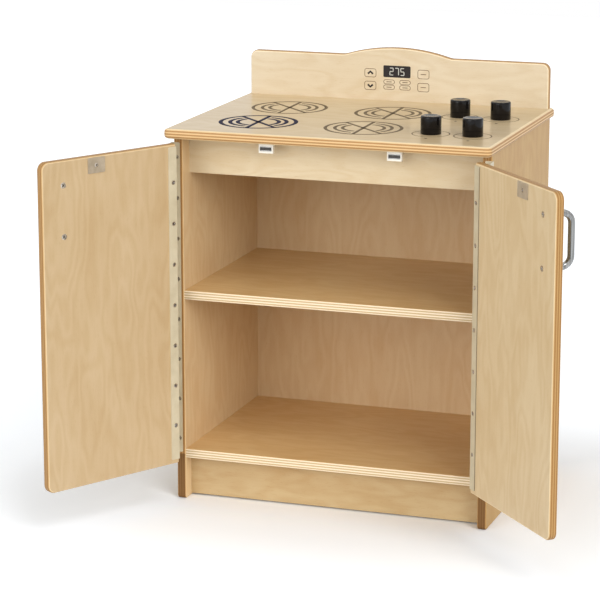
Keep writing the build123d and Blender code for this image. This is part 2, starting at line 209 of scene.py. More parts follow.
print("recipes ready")

# %% [markdown]
# The boards come from different sheets of birch, so each kind has a tone of
# its own. Some tones also carry painted light: the left side, the shelves and
# the back are paler, where the lamps leave the inside of the cupboard dim, and
# the right door is paler than the left; the right side is darker, as painted
# shade. A face has a pale and a deep colour. A cut edge has the colour of its
# long grain, and then a pale and a deep colour for its end grain.

# %% Colours of the birch
PALE_FACE = (paint(243, 228, 194), paint(226, 203, 160))
SPLASH_FACE = (paint(240, 228, 200), paint(223, 203, 166))
HOB_FACE = (paint(242, 221, 179), paint(224, 197, 150))
# Painted light and shade: the right door is paler than the left, to even out the light that the lamps
# give the two doors.
LEFT_DOOR_PAINTED_SHADE_FACE = (paint(224, 201, 162), paint(205, 177, 132))
RIGHT_DOOR_PAINTED_LIGHT_FACE = (paint(246, 226, 186), paint(226, 199, 152))
# Painted light on the left side, which is paler, and painted shade on the right side, which is darker.
LEFT_SIDE_PAINTED_LIGHT_FACE = (paint(250, 224, 178), paint(232, 196, 146))
RIGHT_SIDE_PAINTED_SHADE_FACE = (paint(210, 174, 110), paint(189, 146, 81))
BASE_FACE = (paint(213, 190, 146), paint(192, 160, 110))
# Painted light: the shelves and the back are paler, for the dim inside of the cupboard.
SHELF_PAINTED_LIGHT_FACE = (paint(250, 216, 157), paint(231, 187, 124))
BACK_PAINTED_LIGHT_FACE = (paint(250, 224, 180), paint(234, 198, 150))
PALE_EDGE = (paint(236, 219, 190), paint(206, 180, 140), paint(180, 150, 108))
DOOR_EDGE = (paint(182, 144, 94), paint(165, 123, 71), paint(138, 98, 52))
HOB_EDGE = (paint(216, 182, 132), paint(184, 142, 92), paint(154, 110, 64))
SIDE_EDGE = (paint(180, 138, 86), paint(160, 118, 68), paint(138, 98, 52))
GLUE_LINE = paint(116, 76, 38)
PAINTED_FOOT_SHADE = paint(84, 52, 20)
print("the hob's pale colour in linear light:", [round(part, 3) for part in HOB_FACE[0]])

# %% [markdown]
# Birch plywood is peeled from a turning log, glued in crossed layers and
# lacquered. So the wood is made as a solid: along its thickness the layers
# alternate between long grain and brown end grain, with a thin glue line where
# two of them meet, and every cut edge and rounded nose then shows its lines by
# itself. The face has wide, faint waves, because the knife runs along the
# growth rings, and over them soft clouds, fine fibre and short pores. Each is
# a noise that is stretched by its own amounts along the grain, across it and
# through the layers.
#
# The direction of the surface tells a face from a cut edge. An edge takes
# tones of its own and has no coat of lacquer. The front edges of the side
# panels are darker near the floor: painted shade on the feet.

# %% Birch plywood
PLY_COUNT = 7
LAYER_MARGIN = 0.002
GLUE_START = 0.44
FOOT_SHADE_HEIGHT = 73.0
FOOT_SHADE_DEPTH = 8.0
WAVE_STRETCH = (3.0, 11.0, 1.0)
FIBRE_STRETCH = (14.0, 420.0, 420.0)
PORE_STRETCH = (120.0, 1500.0, 1500.0)
CLOUD_STRETCH = (7.0, 15.0, 1.0)
WAVE_TURNS = 84.0

def along(recipe, place, direction):
    """Distance of a point along a direction."""
    return recipe.node(
        "ShaderNodeVectorMath",
        {"operation": "DOT_PRODUCT"},
        {0: place, 1: tuple(direction)},
        output="Value",
    )


def birch(name, grain, across, through, start, thickness, veneer, edge, gloss, shift):
    """Plywood whose layers lie along `through`, from `start` on, in millimetres."""
    material, recipe = new_recipe(name)
    place = object_place(recipe)
    run = along(recipe, place, grain)
    side = along(recipe, place, across)
    depth = along(recipe, place, through) - start * MM
    layer = (depth * ((1 - 2 * LAYER_MARGIN) / (thickness * MM)) + LAYER_MARGIN) * PLY_COUNT
    crossed = layer.maths("FLOOR").maths("MODULO", 2.0)
    glue = (layer.maths("FRACT") - 0.5).maths("ABSOLUTE").maths("GREATER_THAN", GLUE_START)
    normal = recipe.node("ShaderNodeTexCoord", output="Normal")
    cut = 1.0 - along(recipe, normal, through).maths("ABSOLUTE")

    def figure_noise(stretch, move, detail):
        """Noise that is stretched with the wood."""
        lengthways, crossways, inwards = stretch
        point = recipe.node(
            "ShaderNodeCombineXYZ",
            {},
            {0: run * lengthways, 1: side * crossways, 2: depth * inwards + move},
        )
        return recipe.noise(point, 1.0, detail)

    waves = (figure_noise(WAVE_STRETCH, shift, 3.0) * WAVE_TURNS).maths("SINE") * 0.5 + 0.5
    fibre = figure_noise(FIBRE_STRETCH, shift, 3.0)
    pores = ((figure_noise(PORE_STRETCH, shift, 1.0) - 0.62) * 6.0).maths("MAXIMUM", 0.0)
    clouds = figure_noise(CLOUD_STRETCH, -shift, 3.0)
    speckle = recipe.noise(place, 1400.0, 2.0)

    core, end_pale, end_deep = edge
    figure = waves * 0.3 + fibre * 0.3 + clouds * 1.1 - 0.45
    face = recipe.blend(figure + pores * 0.6, *veneer)
    long_grain = recipe.blend(cut * 3.0 - 0.15, face, core)
    end_grain = recipe.blend(speckle * 1.6 - 0.4, end_pale, end_deep)
    wood = recipe.blend(crossed, long_grain, end_grain)
    wood = recipe.blend(glue * 0.3, wood, GLUE_LINE)
    # Painted shade: the front edges of the side panels darken near the floor.
    if edge == SIDE_EDGE:
        low = along(recipe, place, AXES["z"]).maths("LESS_THAN", FOOT_SHADE_HEIGHT * MM)
        front = along(recipe, place, AXES["y"]).maths("LESS_THAN", FOOT_SHADE_DEPTH * MM)
        wood = recipe.blend(low * front * cut * 0.72, wood, PAINTED_FOOT_SHADE)
    bumps = fibre * 0.6 + pores * -0.4 + speckle * crossed * 0.5
    relief = recipe.node(
        "ShaderNodeBump",
        {},
        {"Height": bumps, "Strength": 0.35, "Distance": 0.12 * MM},
    )
    finish_material(
        recipe,
        {
            "Base Color": wood,
            "Roughness": 0.36 + 0.1 * fibre + 0.12 * crossed,
            "Specular IOR Level": 0.2,
            "Coat Weight": gloss * (1.0 - cut),
            "Coat Roughness": 0.13,
            "Normal": relief,
        },
    )
    return material

print("plywood has", PLY_COUNT, "layers")

# %% [markdown]
# Each board has its own sheet of plywood. The outer grain runs along the
# board's length: upwards in the sides, the back and the doors, and across in
# the shelves, the rails, the hob and the backsplash. A different shift for
# each board keeps two of them from showing the same figure.

# %% Dress the boards of the carcass
def dress(node, material):
    """Gives a CAD node its finish."""
    mesh = nodes[node].data
    mesh.materials.clear()
    mesh.materials.append(material)

# Axes of the grain, across it and through the layers; face; edge; gloss
boards = {
    "left_side": ("zyx", LEFT_SIDE_PAINTED_LIGHT_FACE, SIDE_EDGE, 0.05),
    "right_side": ("zyx", RIGHT_SIDE_PAINTED_SHADE_FACE, SIDE_EDGE, 0.0),
    "middle_shelf": ("xyz", SHELF_PAINTED_LIGHT_FACE, PALE_EDGE, 0.28),
    "bottom_shelf": ("xyz", SHELF_PAINTED_LIGHT_FACE, PALE_EDGE, 0.28),
    "top_rail": ("xzy", PALE_FACE, PALE_EDGE, 0.1),
    "base_rail": ("xzy", BASE_FACE, PALE_EDGE, 0.1),
    "back_panel": ("zxy", BACK_PAINTED_LIGHT_FACE, PALE_EDGE, 0.05),
    "hob": ("xyz", HOB_FACE, HOB_EDGE, 0.35),
    "backsplash": ("xzy", SPLASH_FACE, DOOR_EDGE, 0.1),
}
FIGURE_SHIFT = 3.7
for count, (node, (axes, veneer, edge, gloss)) in enumerate(boards.items()):
    low, high = span(node, "xyz".index(axes[2]))
    grain, across, through = (AXES[axis] for axis in axes)
    dress(
        node,
        birch(
            f"birch_{node}", grain, across, through, low, high - low,
            veneer, edge, gloss, FIGURE_SHIFT * count,
        ),
    )
print("carcass boards dressed:", len(boards))

# %% [markdown]
# A door's sheet turns with the door. Its layers lie along the door's own
# normal, so the directions are turned by the opening angle first.

# %% Dress the doors
DOOR_OUTER = -15.3
DOOR_THICKNESS = 12.7
DOOR_FACES = {"left": LEFT_DOOR_PAINTED_SHADE_FACE, "right": RIGHT_DOOR_PAINTED_LIGHT_FACE}
DOOR_GLOSS = 0.15
DOOR_SHIFT = 40.0
for name, side in SIDES.items():
    turn = Matrix.Rotation(radians(open_angles[side]), 3, "Z")
    through = turn @ AXES["y"]
    pin = pin_places[side]
    start = through.dot(pin) + DOOR_OUTER - pin.y
    dress(
        f"{name}_door",
        birch(
            f"birch_{name}_door", AXES["z"], turn @ AXES["x"], through, start, DOOR_THICKNESS,
            DOOR_FACES[name], DOOR_EDGE, DOOR_GLOSS, DOOR_SHIFT + side,
        ),
    )
print("doors dressed")

# %% [markdown]
# Enamel, steel, plastic and ink all have a tone and a sheen that drift a
# little. One helper makes each of them from two close colours and a few
# numbers, and some also have a fine peel, which a Bump node draws.

# %% A plain finish
def plain_finish(
    name, pale, deep, scale, roughness,
    metallic=0.0, coat=0.0, peel=0.0, shine=0.5, shade_line=None,
):
    """A finish whose tone and sheen drift between two close colours.

    worn is a direction, a limit in millimetres along it, and the colour past it, a painted shade line.
    """
    material, recipe = new_recipe(name)
    place = object_place(recipe)
    drift = recipe.noise(place, scale, 3.0)
    fine = recipe.noise(place, scale * 14, 2.0)
    tone = recipe.blend(drift * 2.0 - 0.5, pale, deep)
    if shade_line:
        direction, limit, shade_colour = shade_line
        tone = recipe.blend(along(recipe, place, direction).maths("LESS_THAN", limit * MM), tone, shade_colour)
    inputs = {
        "Base Color": tone,
        "Roughness": roughness + (fine - 0.5) * 0.16,
        "Metallic": metallic,
        "Coat Weight": coat,
        "Coat Roughness": 0.1,
        "Specular IOR Level": shine,
    }
    if peel:
        inputs["Normal"] = recipe.node(
            "ShaderNodeBump", {}, {"Height": fine, "Strength": peel, "Distance": 0.1 * MM}
        )
    finish_material(recipe, inputs)
    return material

print("plain finish ready")

# %% [markdown]
# The hinge leaves are steel strip with a thin cream enamel. Enamel pools a
# little, so its tone drifts over centimetres and its surface has a faint
# orange peel. Along its edge away from the pin, the right door's leaf has a
# dark line: painted shade of the gap beside it. The strikes are bare rolled
# steel that has dulled, and the screws are zinc plated.

# %% Enamel, steel and plastic fittings
CREAM = (paint(206, 195, 168), paint(191, 179, 150))
ENAMEL = {"scale": 45.0, "roughness": 0.42, "coat": 0.1, "peel": 0.25}
# Painted shade: the dark line along the free edge of the right door's leaf.
GAP_SHADE_COLOUR = paint(138, 126, 104)
DOOR_FOOT_EDGE = 234.4
GAP_SHADE_WIDTH = 0.5
enamel = plain_finish("cream_enamel", *CREAM, **ENAMEL)
outwards = Matrix.Rotation(radians(open_angles[RIGHT]), 3, "Z") @ AXES["x"]
gap_shade_limit = DOOR_FOOT_EDGE + GAP_SHADE_WIDTH + outwards.dot(pin_places[RIGHT]) - pin_places[RIGHT].x
enamel_with_gap_shade = plain_finish(
    "enamel_with_gap_shade", *CREAM, **ENAMEL, shade_line=(outwards, gap_shade_limit, GAP_SHADE_COLOUR)
)
pin_steel = plain_finish(
    "pin_steel", paint(186, 178, 160), paint(150, 142, 126), 60.0, 0.38, metallic=1.0
)
strike_steel = plain_finish(
    "strike_steel", paint(200, 187, 166), paint(170, 157, 136), 80.0, 0.5, metallic=0.6, peel=0.2
)
catch_plastic = plain_finish(
    "catch_plastic", paint(244, 241, 232), paint(232, 228, 216), 90.0, 0.35, peel=0.1
)
magnet_black = plain_finish(
    "magnet_black", paint(74, 72, 70), paint(48, 46, 45), 300.0, 0.55, metallic=0.2, peel=0.3
)
pole_steel = plain_finish(
    "pole_steel", paint(176, 174, 170), paint(140, 138, 134), 120.0, 0.35, metallic=1.0
)
dowel_beech = plain_finish(
    "dowel_beech", paint(214, 180, 132), paint(196, 160, 112), 400.0, 0.6
)
zinc = plain_finish(
    "bright_zinc", paint(232, 230, 224), paint(206, 203, 196), 350.0, 0.3, metallic=0.7
)
# The screws in sight: their tone swings between pale and dark zinc over half a head, painted highlight
# and painted shade on each head.
zinc_with_painted_glints = plain_finish(
    "zinc_with_painted_glints", paint(242, 240, 236), paint(142, 140, 136), 300.0, 0.26, metallic=0.9
)
fittings = {
    "cabinet_leaf": enamel,
    "door_leaf": enamel,
    "hinge_pin": pin_steel,
    "strike_plate": strike_steel,
    "catch_housing": catch_plastic,
    "catch_magnet": magnet_black,
    "catch_poles": pole_steel,
}
for name in SIDES:
    for fitting, finish in fittings.items():
        dress(f"{name}_{fitting}", finish)
dress("right_door_leaf", enamel_with_gap_shade)
dress("hob_dowels", dowel_beech)
for node in ("catch_screws", "backsplash_screws"):
    dress(node, zinc)
for name in knob_names:
    dress(f"{name}_knob_screw", zinc)
    dress(f"{name}_knob_washer", zinc)
print("fittings dressed")

# %% [markdown]
# The handles, the knobs and the screws are solids made of rings of points. A
# wall of faces joins two rings, and a ring may also be a single point, as in
# the middle of a knob's top. A finished mesh becomes a piece of the stove that
# rides on one body, so that it turns with its door or its knob.

# %% Rings, walls and pieces
def add_wall(shape, low, high):
    """Joins two rings by a row of faces; either may be a single point."""
    sides = max(len(low), len(high))
    for here in range(sides):
        there = (here + 1) % sides
        corners = (
            low[here % len(low)], low[there % len(low)],
            high[there % len(high)], high[here % len(high)],
        )
        shape.faces.new(list(dict.fromkeys(corners)))


def mesh_from(shape, name):
    """The mesh of a finished bmesh."""
    mesh = bpy.data.meshes.new(name)
    shape.to_mesh(mesh)
    shape.free()
    return mesh


def smooth(mesh):
    """Shades every face of a mesh as part of a round surface."""
    for face in mesh.polygons:
        face.use_smooth = True


def add_piece(name, mesh, body, material):
    """Links a finished mesh as a piece of the stove."""
    piece = bpy.data.objects.new(name, mesh)
    bpy.context.scene.collection.objects.link(piece)
    mesh.materials.clear()
    mesh.materials.append(material)
    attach(piece, body)
    return piece

print("mesh helpers ready")

# %% [markdown]
# The pull handles are 10 mm steel rod with a satin finish, rubbed along the
# rod; its wide pale and dark streaks are partly that rub and partly painted
# reflection. A sweep along the bent line, with finer sides than the CAD's mesh
# has, gives clean highlights. Its path is drawn on the shut door.

# %% Pull handles
STREAK_STRETCH = (700.0, 700.0, 10.0)

def satin_rod_with_painted_stripes(name):
    """Steel rubbed along the rod: streaks that run up and down, partly the rub and partly painted
    reflection.
    """
    material, recipe = new_recipe(name)
    place = object_place(recipe)
    stretched = recipe.node("ShaderNodeMapping", {}, {"Vector": place, "Scale": STREAK_STRETCH})
    rub_and_painted_stripes = recipe.noise(stretched, 1.0, 2.0)
    finish_material(
        recipe,
        {
            # Painted reflection: wide pale and dark streaks in the colour stand in for the stripes
            # that the rod reflects; the rest is the rub.
            "Base Color": recipe.blend(rub_and_painted_stripes * 2.4 - 0.7, paint(186, 186, 184), paint(104, 104, 104)),
            "Metallic": 1.0,
            "Roughness": 0.16 + 0.1 * rub_and_painted_stripes,
        },
    )
    return material


def bent_path(foot, reach, low, high, bend, steps):
    """Points of a handle's middle line: out, up and back, as (y, z)."""
    points = [(foot, low)]
    for centre_z, first in ((low + bend, -pi / 2), (high - bend, 0.0)):
        for step in range(steps + 1):
            angle = first + step / steps * pi / 2
            points.append((reach + bend - bend * cos(angle), centre_z + bend * sin(angle)))
    points.append((foot, high))
    return points


def swept_rod(name, path, radius, sides):
    """A closed rod along a path of points, with flat ends."""
    shape = bmesh.new()
    sideways = AXES["x"]
    angles = [2 * pi * step / sides for step in range(sides)]
    rings = []
    for count, point in enumerate(path):
        before = path[max(count - 1, 0)]
        after = path[min(count + 1, len(path) - 1)]
        upwards = (after - before).normalized().cross(sideways)
        rings.append(
            [
                shape.verts.new(point + radius * (cos(angle) * sideways + sin(angle) * upwards))
                for angle in angles
            ]
        )
    for ring, following in zip(rings, rings[1:]):
        add_wall(shape, ring, following)
    shape.faces.new(list(reversed(rings[0])))
    shape.faces.new(rings[-1])
    bmesh.ops.recalc_face_normals(shape, faces=shape.faces)
    mesh = mesh_from(shape, name)
    smooth(mesh)
    for end in (mesh.polygons[-1], mesh.polygons[-2]):
        end.use_smooth = False
    return mesh

HANDLE_X = 40.5
HANDLE_STAND_OFF = 32.0
HANDLE_RADIUS = 5.0
HANDLE_MIDDLE = 491.0
HANDLE_CENTRES = 76.0
HANDLE_BEND = 15.0
HANDLE_STEPS = 12
HANDLE_SIDES = 32
satin_steel_with_painted_stripes = satin_rod_with_painted_stripes("satin_steel_with_painted_stripes")
for name, side in SIDES.items():
    path = bent_path(
        DOOR_OUTER, DOOR_OUTER - HANDLE_STAND_OFF, HANDLE_MIDDLE - HANDLE_CENTRES / 2,
        HANDLE_MIDDLE + HANDLE_CENTRES / 2, HANDLE_BEND, HANDLE_STEPS,
    )
    points = [Vector((side * HANDLE_X, y, z)) * MM for y, z in path]
    mesh = swept_rod(f"{name}_pull_handle", points, HANDLE_RADIUS * MM, HANDLE_SIDES)
    mesh.transform(swing(side))
    handle = add_piece(f"{name}_pull_handle", mesh, f"{name}_door", satin_steel_with_painted_stripes)
    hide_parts(f"{name}_handle")
    print(handle.name, "path points", len(points))

# %% [markdown]
# The knobs are glossy black: a plain drum with a small round at its top edge
# and a shallow dish. A profile spun round the middle gives that with a clean
# shine. The finish stays close to black, and fine wear shows in its roughness.

# %% Knobs
KNOB_RADIUS = 15.5
KNOB_FOOT = 0.4
KNOB_HEIGHT = span("front_left_knob", Z)[1] - span("front_left_knob", Z)[0]
KNOB_ROUND = 2.2
KNOB_RIM = 2.2
KNOB_DISH = 1.0
KNOB_STEPS = 8
KNOB_SIDES = 96

def knob_profile():
    """Radius and height from the middle of the underside to the middle of the dish."""
    profile = [(0.0, 0.0), (KNOB_RADIUS - KNOB_FOOT, 0.0), (KNOB_RADIUS, KNOB_FOOT)]
    for step in range(KNOB_STEPS + 1):
        angle = step / KNOB_STEPS * pi / 2
        profile.append(
            (
                KNOB_RADIUS - KNOB_ROUND + KNOB_ROUND * cos(angle),
                KNOB_HEIGHT - KNOB_ROUND + KNOB_ROUND * sin(angle),
            )
        )
    rim = KNOB_RADIUS - KNOB_ROUND - KNOB_RIM
    for step in range(KNOB_STEPS + 1):
        reach = 1 - step / KNOB_STEPS
        profile.append((rim * reach, KNOB_HEIGHT - KNOB_DISH * (1 - reach * reach)))
    return profile


def spun(name, profile, sides, centre):
    """A closed mesh from a profile turned about a vertical line."""
    shape = bmesh.new()
    middle_x, middle_y = centre
    rings = []
    for radius, height in profile:
        points = sides if radius else 1
        angles = [2 * pi * step / sides for step in range(points)]
        places = [(middle_x + radius * cos(angle), middle_y + radius * sin(angle)) for angle in angles]
        rings.append([shape.verts.new(Vector((x, y, height)) * MM) for x, y in places])
    for low, high in zip(rings, rings[1:]):
        add_wall(shape, low, high)
    bmesh.ops.recalc_face_normals(shape, faces=shape.faces)
    mesh = mesh_from(shape, name)
    smooth(mesh)
    return mesh

knob_black = plain_finish(
    "knob_black", paint(20, 17, 17), paint(12, 10, 10), 120.0, 0.14, peel=0.03, shine=0.22
)
for name, centre in knob_centres.items():
    base = span(f"{name}_knob", Z)[0]
    profile = [(radius, base + height) for radius, height in knob_profile()]
    mesh = spun(f"{name}_turned_knob", profile, KNOB_SIDES, centre)
    knob = add_piece(f"{name}_turned_knob", mesh, f"{name}_knob", knob_black)
    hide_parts(f"{name}_knob")
print("knobs have", len(mesh.polygons), "faces each")

# %% [markdown]
# Screws repeat, so Geometry Nodes sets them, and one screw is modelled for
# each size: a countersunk body of revolution with a cross recess, which a
# Boolean modifier cuts out of its flat head. The heads are drawn slightly
# wider than real ones, and stand a little proud of the board, so that they
# show from a few metres away.

# %% A screw with a cross recess
HEAD_SEAT = 0.97
HEAD_RIM = 1.16
HEAD_FLAT = 0.9
RIM_DEPTH = 0.05
HEAD_PROUD = 0.12
SCREW_SIDES = 24

# Half length, half width and height of the recess, as shares of the head's radius
RECESS_TOP = (0.72, 0.2, 0.1)
RECESS_TIP = (0.24, 0.1, -0.85)

def revolved_screw(head, shank, length):
    """A screw along -Z whose rim ends level with the origin, in metres."""
    profile = [
        (0.0, -length),
        (shank, -length),
        (shank, shank - head),
        (head * HEAD_SEAT, -RIM_DEPTH),
        (head * HEAD_RIM, -RIM_DEPTH),
        (head * HEAD_RIM, 0.0),
        (head * HEAD_FLAT, HEAD_PROUD),
        (0.0, HEAD_PROUD),
    ]
    return spun("screw_blank", profile, SCREW_SIDES, (0.0, 0.0))


def cross_cutter(head):
    """Two crossed wedges, wider at the top, as a cross driver's tip."""
    shape = bmesh.new()
    for turn in (0.0, pi / 2):
        driver = Matrix.Rotation(turn, 3, "Z")
        ends = []
        for reach, width, height in (RECESS_TOP, RECESS_TIP):
            corners = [(reach, width), (-reach, width), (-reach, -width), (reach, -width)]
            ends.append(
                [shape.verts.new(driver @ Vector((x, y, height)) * head * MM) for x, y in corners]
            )
        top, tip = ends
        shape.faces.new(top)
        shape.faces.new(list(reversed(tip)))
        add_wall(shape, tip, top)
    bmesh.ops.recalc_face_normals(shape, faces=shape.faces)
    return mesh_from(shape, "cross_cutter")


def mesh_of(carrier):
    """The evaluated mesh of an object, with its modifiers applied."""
    depsgraph = bpy.context.evaluated_depsgraph_get()
    return bpy.data.meshes.new_from_object(carrier.evaluated_get(depsgraph))


def cross_head_screw(head, shank, length):
    """A finished screw as an object, which the tree can stand on points."""
    blank = bpy.data.objects.new("screw_blank", revolved_screw(head, shank, length))
    cutter = bpy.data.objects.new("cross_cutter", cross_cutter(head))
    for thing in (blank, cutter):
        bpy.context.scene.collection.objects.link(thing)
    cut = blank.modifiers.new("recess", "BOOLEAN")
    cut.operation = "DIFFERENCE"
    cut.solver = "EXACT"
    cut.use_self = True
    cut.object = cutter
    mesh = mesh_of(blank)
    bpy.data.objects.remove(blank)
    bpy.data.objects.remove(cutter)
    mesh.polygons.foreach_set("use_smooth", [False] * len(mesh.polygons))
    screw = bpy.data.objects.new("screw", mesh)
    bpy.context.scene.collection.objects.link(screw)
    return screw

hinge_screw = cross_head_screw(head=3.0, shank=1.8, length=10.0)
handle_screw = cross_head_screw(head=4.0, shank=2.0, length=23.7)
strike_screw = cross_head_screw(head=2.7, shank=1.5, length=9.0)
print("a hinge screw has", len(hinge_screw.data.polygons), "faces")

# %% [markdown]
# The tree stands a copy of a screw on every point, turns it to face out of the
# board, and gives it a twist of its own, because no two screws stop at the
# same angle. Its inputs have names, and a modifier's input is set by the
# identifier of the socket that has the name. The tree ends in plain mesh with
# its material, because an export drops instances.

# %% The tree that sets screws
def geometry_tree(name, sockets):
    """An empty Geometry Nodes tree with named inputs, and its recipe."""
    tree = bpy.data.node_groups.new(name, "GeometryNodeTree")
    tree.interface.new_socket("Geometry", in_out="INPUT", socket_type="NodeSocketGeometry")
    for title, kind in sockets.items():
        tree.interface.new_socket(title, in_out="INPUT", socket_type=f"NodeSocket{kind}")
    tree.interface.new_socket("Geometry", in_out="OUTPUT", socket_type="NodeSocketGeometry")
    recipe = Recipe(tree)
    group = tree.nodes.new("NodeGroupInput")
    wires = {socket.name: Wire(recipe, socket) for socket in group.outputs if socket.name}
    return tree, recipe, wires


def end_tree(recipe, geometry, material):
    """Realises what the tree made and gives it its material."""
    real = recipe.node("GeometryNodeRealizeInstances", {}, {0: geometry})
    painted = recipe.node("GeometryNodeSetMaterial", {}, {"Geometry": real, "Material": material})
    output = recipe.tree.nodes.new("NodeGroupOutput")
    recipe.tree.links.new(painted.socket, output.inputs[0])


def grow(tree, base, values):
    """Runs a tree on a mesh and returns the plain mesh that it makes."""
    carrier = bpy.data.objects.new("carrier", base)
    bpy.context.scene.collection.objects.link(carrier)
    modifier = carrier.modifiers.new("grow", "NODES")
    modifier.node_group = tree
    for item in tree.interface.items_tree:
        if item.in_out == "INPUT" and item.name in values:
            modifier[item.identifier] = values[item.name]
    mesh = mesh_of(carrier)
    bpy.data.objects.remove(carrier)
    return mesh

screw_tree, recipe, wires = geometry_tree(
    "set screws", {"Screw": "Object", "Facing": "Rotation", "Seed": "Int", "Finish": "Material"}
)
screw_shape = recipe.node("GeometryNodeObjectInfo", {}, {"Object": wires["Screw"]}, output="Geometry")
standing = recipe.node(
    "GeometryNodeInstanceOnPoints",
    {},
    {"Points": wires["Geometry"], "Instance": screw_shape, "Rotation": wires["Facing"]},
)
stop_angle = recipe.node(
    "FunctionNodeRandomValue",
    {"data_type": "FLOAT"},
    {2: 0.0, 3: pi / 2, "Seed": wires["Seed"]},
    output=1,
)
twist = recipe.node("ShaderNodeCombineXYZ", {}, {"Z": stop_angle})
twisted = recipe.node(
    "GeometryNodeRotateInstances", {}, {"Instances": standing, "Rotation": twist, "Local Space": True}
)
end_tree(recipe, twisted, wires["Finish"])
print("screw tree nodes:", len(screw_tree.nodes))

# %% [markdown]
# The hinges, the handles and the strikes are screwed on. Their screws are in
# sight with the doors open, so these replace the plain CAD screws. Each row is
# drawn on the shut door or on the front edge of the side panel.

# %% Set the screws that are in sight
HINGE_SCREW_X = 243.0
HINGE_MIDDLE = 319.0
SCREW_PITCH = 63.0
LEAF = 1.2
CABINET_SCREWS = 8
CABINET_HEIGHTS = [
    HINGE_MIDDLE + (count - (CABINET_SCREWS - 1) / 2) * SCREW_PITCH for count in range(CABINET_SCREWS)
]
DOOR_HEIGHTS = [height + SCREW_PITCH / 2 for height in CABINET_HEIGHTS[:-1]]
DOOR_INNER = DOOR_OUTER + DOOR_THICKNESS
STRIKE_X = 100.2
STRIKE_Z = 552.0
SEEDS_PER_SIDE = 10
face_front = Matrix.Rotation(pi / 2, 4, "X")
face_back = Matrix.Rotation(-pi / 2, 4, "X")

def points_mesh(points):
    """A mesh of bare points, given in millimetres."""
    mesh = bpy.data.meshes.new("points")
    mesh.from_pydata([Vector(point) * MM for point in points], [], [])
    return mesh


def set_screws(name, node, body, screw, points, facing, place, seed):
    """One piece with all screws of a row, in place of the CAD node."""
    values = {"Screw": screw, "Facing": facing.to_euler(), "Seed": seed, "Finish": zinc_with_painted_glints}
    mesh = grow(screw_tree, points_mesh(points), values)
    mesh.transform(place)
    piece = add_piece(name, mesh, body, zinc_with_painted_glints)
    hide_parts(node)
    print(name, len(points), "screws,", len(mesh.polygons), "faces")

unmoved = Matrix.Identity(4)
for name, side in SIDES.items():
    rows = (
        ("hinge_screws_on_side", f"{name}_cabinet_leaf_screws", "stove", hinge_screw,
         [(side * HINGE_SCREW_X, -LEAF, z) for z in CABINET_HEIGHTS], face_front, unmoved),
        ("hinge_screws_on_door", f"{name}_door_leaf_screws", f"{name}_door", hinge_screw,
         [(side * HINGE_SCREW_X, DOOR_INNER + LEAF, z) for z in DOOR_HEIGHTS], face_back, swing(side)),
        ("handle_cross_screws", f"{name}_handle_screws", f"{name}_door", handle_screw,
         [(side * HANDLE_X, DOOR_INNER, HANDLE_MIDDLE + end * HANDLE_CENTRES / 2) for end in (-1, 1)],
         face_back, swing(side)),
        ("strike_cross_screw", f"{name}_strike_screw", f"{name}_door", strike_screw,
         [(side * STRIKE_X, DOOR_INNER + LEAF, STRIKE_Z)], face_back, swing(side)),
    )
    for count, (title, node, body, screw, points, facing, place) in enumerate(rows):
        seed = count + SEEDS_PER_SIDE * (side + 1)
        set_screws(f"{name}_{title}", node, body, screw, points, facing, place, seed)
for screw in (hinge_screw, handle_screw, strike_screw):
    bpy.data.objects.remove(screw)

# %% [markdown]
# The burners, the dials and the control panel are screen printed: a film of
# ink about a tenth of a millimetre thick. Every printed line is a path, and a
# Geometry Nodes tree sweeps a flat strip along it, so one input sets the line
# width. Line drawings lie flat first and are then put on their board.

# %% The tree that prints lines
INK_FILM = 0.12
print_tree, recipe, wires = geometry_tree(
    "print lines", {"Line width": "Float", "Film": "Float", "Ink": "Material"}
)
paths = recipe.node("GeometryNodeMeshToCurve", {}, {"Mesh": wires["Geometry"]})
level = recipe.node("GeometryNodeSetCurveNormal", {"mode": "Z_UP"}, {"Curve": paths})
strip = recipe.node(
    "GeometryNodeCurvePrimitiveQuadrilateral",
    {},
    {"Width": wires["Line width"], "Height": wires["Film"]},
)
inked = recipe.node(
    "GeometryNodeCurveToMesh", {}, {"Curve": level, "Profile Curve": strip, "Fill Caps": True}
)
end_tree(recipe, inked, wires["Ink"])

def drawing(lines):
    """A mesh of open and closed lines from lists of (x, y) points in millimetres."""
    mesh = bpy.data.meshes.new("drawing")
    points = []
    edges = []
    for line, closed in lines:
        first = len(points)
        points += [Vector((x, y, 0)) * MM for x, y in line]
        last = first + len(line) - 1
        edges += [(point, point + 1) for point in range(first, last)]
        if closed:
            edges.append((last, first))
    mesh.from_pydata(points, edges, [])
    return mesh


def ink_finish(name, colour):
    """Matt ink, a little deeper where the screen let more of it through."""
    deep = tuple(0.8 * part for part in colour[:3]) + (1.0,)
    return plain_finish(name, colour, deep, 600.0, 0.6, shine=0.1)


def print_lines(name, lines, width, ink, place):
    """One piece of printed lines, with their width in millimetres."""
    values = {"Line width": width * MM, "Film": INK_FILM * MM, "Ink": ink}
    mesh = grow(print_tree, drawing(lines), values)
    mesh.transform(place)
    piece = add_piece(name, mesh, "stove", ink)
    size = [round(edge / MM, 1) for edge in piece.dimensions]
    print(name, "lines", len(lines), "size", size)

on_hob = Matrix.Translation((0, 0, hob_top * MM))
print("print tree nodes:", len(print_tree.nodes))

# %% [markdown]
# A burner is a ring with two lines across it and two pairs of smaller arcs in
# the wide fields to the left and the right. The front left one is printed in
# navy with a bolder line, as if it were switched on, and the others in brown.

# %% Burners
BURNERS = {
    "front_left": (-140.0, 77.5),
    "front_right": (28.0, 76.5),
    "back_right": (29.5, 222.0),
    "back_left": (-140.0, 222.0),
}
BURNER_RADIUS = 57.5
BURNER_POINTS = 96
BURNER_LINE = 5.2
BOLD_LINE = 6.4
ARC_RADII = (43.0, 31.4)
CROSS_ANGLES = (91.0, 135.0)
ARC_GAP = 9.0

